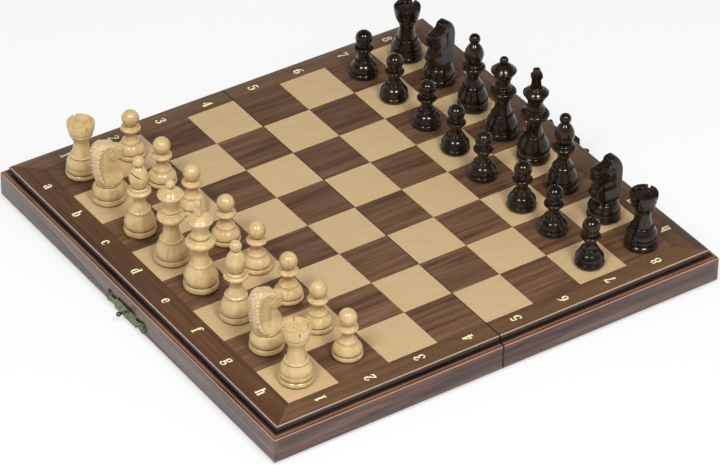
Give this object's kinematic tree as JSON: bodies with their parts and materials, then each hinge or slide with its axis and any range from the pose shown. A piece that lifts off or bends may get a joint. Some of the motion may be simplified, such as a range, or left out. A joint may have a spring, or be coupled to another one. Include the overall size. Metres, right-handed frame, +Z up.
{
  "type": "chess set with folding board",
  "caption": "Folding wooden chess box open flat as a board with coordinate borders, hinged down the middle, with latch hardware and a full set of turned pieces standing on it.",
  "frame": {"origin": "middle of the footprint, on the surface the glides stand on", "axes": "+Z up out of the playing surface; ranks run along X with rank 1 at -X; files run along Y with file a at +Y, which is also the hinge direction"},
  "size_m": [0.4192, 0.3904, 0.1125],
  "materials": {
    "maple": "satin",
    "walnut": "satin",
    "border_walnut": "satin",
    "rail_wood": "semi-gloss",
    "plywood": "matt",
    "lining_felt": "felt",
    "glide_rubber": "matt",
    "hinge_brass": "satin",
    "antique_bronze": "aged",
    "light_boxwood": "semi-gloss lacquer",
    "dark_lacquer": "gloss lacquer"
  },
  "bodies": {
    "white_half": {"white_panel": "plywood", "white_light_squares": "maple", "white_dark_squares": "walnut", "white_border_strips": "border_walnut", "white_outer_rail": "rail_wood", "white_end_rails": "rail_wood", "white_hinge_rail": "rail_wood", "white_lining": "lining_felt", "white_glides": "glide_rubber", "white_hinge_leaves": "hinge_brass", "white_screws": "hinge_brass", "hinge_pins": "hinge_brass", "keeper": "antique_bronze"},
    "black_half": {"black_panel": "plywood", "black_light_squares": "maple", "black_dark_squares": "walnut", "black_border_strips": "border_walnut", "black_outer_rail": "rail_wood", "black_end_rails": "rail_wood", "black_hinge_rail": "rail_wood", "black_lining": "lining_felt", "black_glides": "glide_rubber", "black_hinge_leaves": "hinge_brass", "black_screws": "hinge_brass", "hasp_plate": "antique_bronze", "hasp_pin": "antique_bronze"},
    "hasp": {"hasp": "antique_bronze"},
    "white_rook_a_piece": {"white_rook_a": "light_boxwood"},
    "white_knight_b_piece": {"white_knight_b": "light_boxwood"},
    "white_bishop_c_piece": {"white_bishop_c": "light_boxwood"},
    "white_queen_piece": {"white_queen": "light_boxwood"},
    "white_king_piece": {"white_king": "light_boxwood"},
    "white_bishop_f_piece": {"white_bishop_f": "light_boxwood"},
    "white_knight_g_piece": {"white_knight_g": "light_boxwood"},
    "white_rook_h_piece": {"white_rook_h": "light_boxwood"},
    "white_pawn_a_piece": {"white_pawn_a": "light_boxwood"},
    "white_pawn_b_piece": {"white_pawn_b": "light_boxwood"},
    "white_pawn_c_piece": {"white_pawn_c": "light_boxwood"},
    "white_pawn_d_piece": {"white_pawn_d": "light_boxwood"},
    "white_pawn_e_piece": {"white_pawn_e": "light_boxwood"},
    "white_pawn_f_piece": {"white_pawn_f": "light_boxwood"},
    "white_pawn_g_piece": {"white_pawn_g": "light_boxwood"},
    "white_pawn_h_piece": {"white_pawn_h": "light_boxwood"},
    "black_pawn_a_piece": {"black_pawn_a": "dark_lacquer"},
    "black_pawn_b_piece": {"black_pawn_b": "dark_lacquer"},
    "black_pawn_c_piece": {"black_pawn_c": "dark_lacquer"},
    "black_pawn_d_piece": {"black_pawn_d": "dark_lacquer"},
    "black_pawn_e_piece": {"black_pawn_e": "dark_lacquer"},
    "black_pawn_f_piece": {"black_pawn_f": "dark_lacquer"},
    "black_pawn_g_piece": {"black_pawn_g": "dark_lacquer"},
    "black_pawn_h_piece": {"black_pawn_h": "dark_lacquer"},
    "black_rook_a_piece": {"black_rook_a": "dark_lacquer"},
    "black_knight_b_piece": {"black_knight_b": "dark_lacquer"},
    "black_bishop_c_piece": {"black_bishop_c": "dark_lacquer"},
    "black_queen_piece": {"black_queen": "dark_lacquer"},
    "black_king_piece": {"black_king": "dark_lacquer"},
    "black_bishop_f_piece": {"black_bishop_f": "dark_lacquer"},
    "black_knight_g_piece": {"black_knight_g": "dark_lacquer"},
    "black_rook_h_piece": {"black_rook_h": "dark_lacquer"}
  },
  "joints": [
    {"name": "board_fold", "type": "hinge", "parent": "white_half", "child": "black_half", "pos_m": [0, 0, 0.00185], "axis": [0, 1, 0], "range_deg": [0, 179.3]},
    {"name": "hasp_swing", "type": "hinge", "parent": "black_half", "child": "hasp", "pos_m": [0.2006, 0.008, 0.0038], "axis": [0, 1, 0], "range_deg": [-45, 135]},
    {"name": "white_rook_a_lift", "type": "slide", "parent": "white_half", "child": "white_rook_a_piece", "axis": [0, 0, 1], "range_m": [0, 0.1]},
    {"name": "white_knight_b_lift", "type": "slide", "parent": "white_half", "child": "white_knight_b_piece", "axis": [0, 0, 1], "range_m": [0, 0.1]},
    {"name": "white_bishop_c_lift", "type": "slide", "parent": "white_half", "child": "white_bishop_c_piece", "axis": [0, 0, 1], "range_m": [0, 0.1]},
    {"name": "white_queen_lift", "type": "slide", "parent": "white_half", "child": "white_queen_piece", "axis": [0, 0, 1], "range_m": [0, 0.1]},
    {"name": "white_king_lift", "type": "slide", "parent": "white_half", "child": "white_king_piece", "axis": [0, 0, 1], "range_m": [0, 0.1]},
    {"name": "white_bishop_f_lift", "type": "slide", "parent": "white_half", "child": "white_bishop_f_piece", "axis": [0, 0, 1], "range_m": [0, 0.1]},
    {"name": "white_knight_g_lift", "type": "slide", "parent": "white_half", "child": "white_knight_g_piece", "axis": [0, 0, 1], "range_m": [0, 0.1]},
    {"name": "white_rook_h_lift", "type": "slide", "parent": "white_half", "child": "white_rook_h_piece", "axis": [0, 0, 1], "range_m": [0, 0.1]},
    {"name": "white_pawn_a_lift", "type": "slide", "parent": "white_half", "child": "white_pawn_a_piece", "axis": [0, 0, 1], "range_m": [0, 0.1]},
    {"name": "white_pawn_b_lift", "type": "slide", "parent": "white_half", "child": "white_pawn_b_piece", "axis": [0, 0, 1], "range_m": [0, 0.1]},
    {"name": "white_pawn_c_lift", "type": "slide", "parent": "white_half", "child": "white_pawn_c_piece", "axis": [0, 0, 1], "range_m": [0, 0.1]},
    {"name": "white_pawn_d_lift", "type": "slide", "parent": "white_half", "child": "white_pawn_d_piece", "axis": [0, 0, 1], "range_m": [0, 0.1]},
    {"name": "white_pawn_e_lift", "type": "slide", "parent": "white_half", "child": "white_pawn_e_piece", "axis": [0, 0, 1], "range_m": [0, 0.1]},
    {"name": "white_pawn_f_lift", "type": "slide", "parent": "white_half", "child": "white_pawn_f_piece", "axis": [0, 0, 1], "range_m": [0, 0.1]},
    {"name": "white_pawn_g_lift", "type": "slide", "parent": "white_half", "child": "white_pawn_g_piece", "axis": [0, 0, 1], "range_m": [0, 0.1]},
    {"name": "white_pawn_h_lift", "type": "slide", "parent": "white_half", "child": "white_pawn_h_piece", "axis": [0, 0, 1], "range_m": [0, 0.1]},
    {"name": "black_pawn_a_lift", "type": "slide", "parent": "black_half", "child": "black_pawn_a_piece", "axis": [0, 0, 1], "range_m": [0, 0.1]},
    {"name": "black_pawn_b_lift", "type": "slide", "parent": "black_half", "child": "black_pawn_b_piece", "axis": [0, 0, 1], "range_m": [0, 0.1]},
    {"name": "black_pawn_c_lift", "type": "slide", "parent": "black_half", "child": "black_pawn_c_piece", "axis": [0, 0, 1], "range_m": [0, 0.1]},
    {"name": "black_pawn_d_lift", "type": "slide", "parent": "black_half", "child": "black_pawn_d_piece", "axis": [0, 0, 1], "range_m": [0, 0.1]},
    {"name": "black_pawn_e_lift", "type": "slide", "parent": "black_half", "child": "black_pawn_e_piece", "axis": [0, 0, 1], "range_m": [0, 0.1]},
    {"name": "black_pawn_f_lift", "type": "slide", "parent": "black_half", "child": "black_pawn_f_piece", "axis": [0, 0, 1], "range_m": [0, 0.1]},
    {"name": "black_pawn_g_lift", "type": "slide", "parent": "black_half", "child": "black_pawn_g_piece", "axis": [0, 0, 1], "range_m": [0, 0.1]},
    {"name": "black_pawn_h_lift", "type": "slide", "parent": "black_half", "child": "black_pawn_h_piece", "axis": [0, 0, 1], "range_m": [0, 0.1]},
    {"name": "black_rook_a_lift", "type": "slide", "parent": "black_half", "child": "black_rook_a_piece", "axis": [0, 0, 1], "range_m": [0, 0.1]},
    {"name": "black_knight_b_lift", "type": "slide", "parent": "black_half", "child": "black_knight_b_piece", "axis": [0, 0, 1], "range_m": [0, 0.1]},
    {"name": "black_bishop_c_lift", "type": "slide", "parent": "black_half", "child": "black_bishop_c_piece", "axis": [0, 0, 1], "range_m": [0, 0.1]},
    {"name": "black_queen_lift", "type": "slide", "parent": "black_half", "child": "black_queen_piece", "axis": [0, 0, 1], "range_m": [0, 0.1]},
    {"name": "black_king_lift", "type": "slide", "parent": "black_half", "child": "black_king_piece", "axis": [0, 0, 1], "range_m": [0, 0.1]},
    {"name": "black_bishop_f_lift", "type": "slide", "parent": "black_half", "child": "black_bishop_f_piece", "axis": [0, 0, 1], "range_m": [0, 0.1]},
    {"name": "black_knight_g_lift", "type": "slide", "parent": "black_half", "child": "black_knight_g_piece", "axis": [0, 0, 1], "range_m": [0, 0.1]},
    {"name": "black_rook_h_lift", "type": "slide", "parent": "black_half", "child": "black_rook_h_piece", "axis": [0, 0, 1], "range_m": [0, 0.1]}
  ]
}
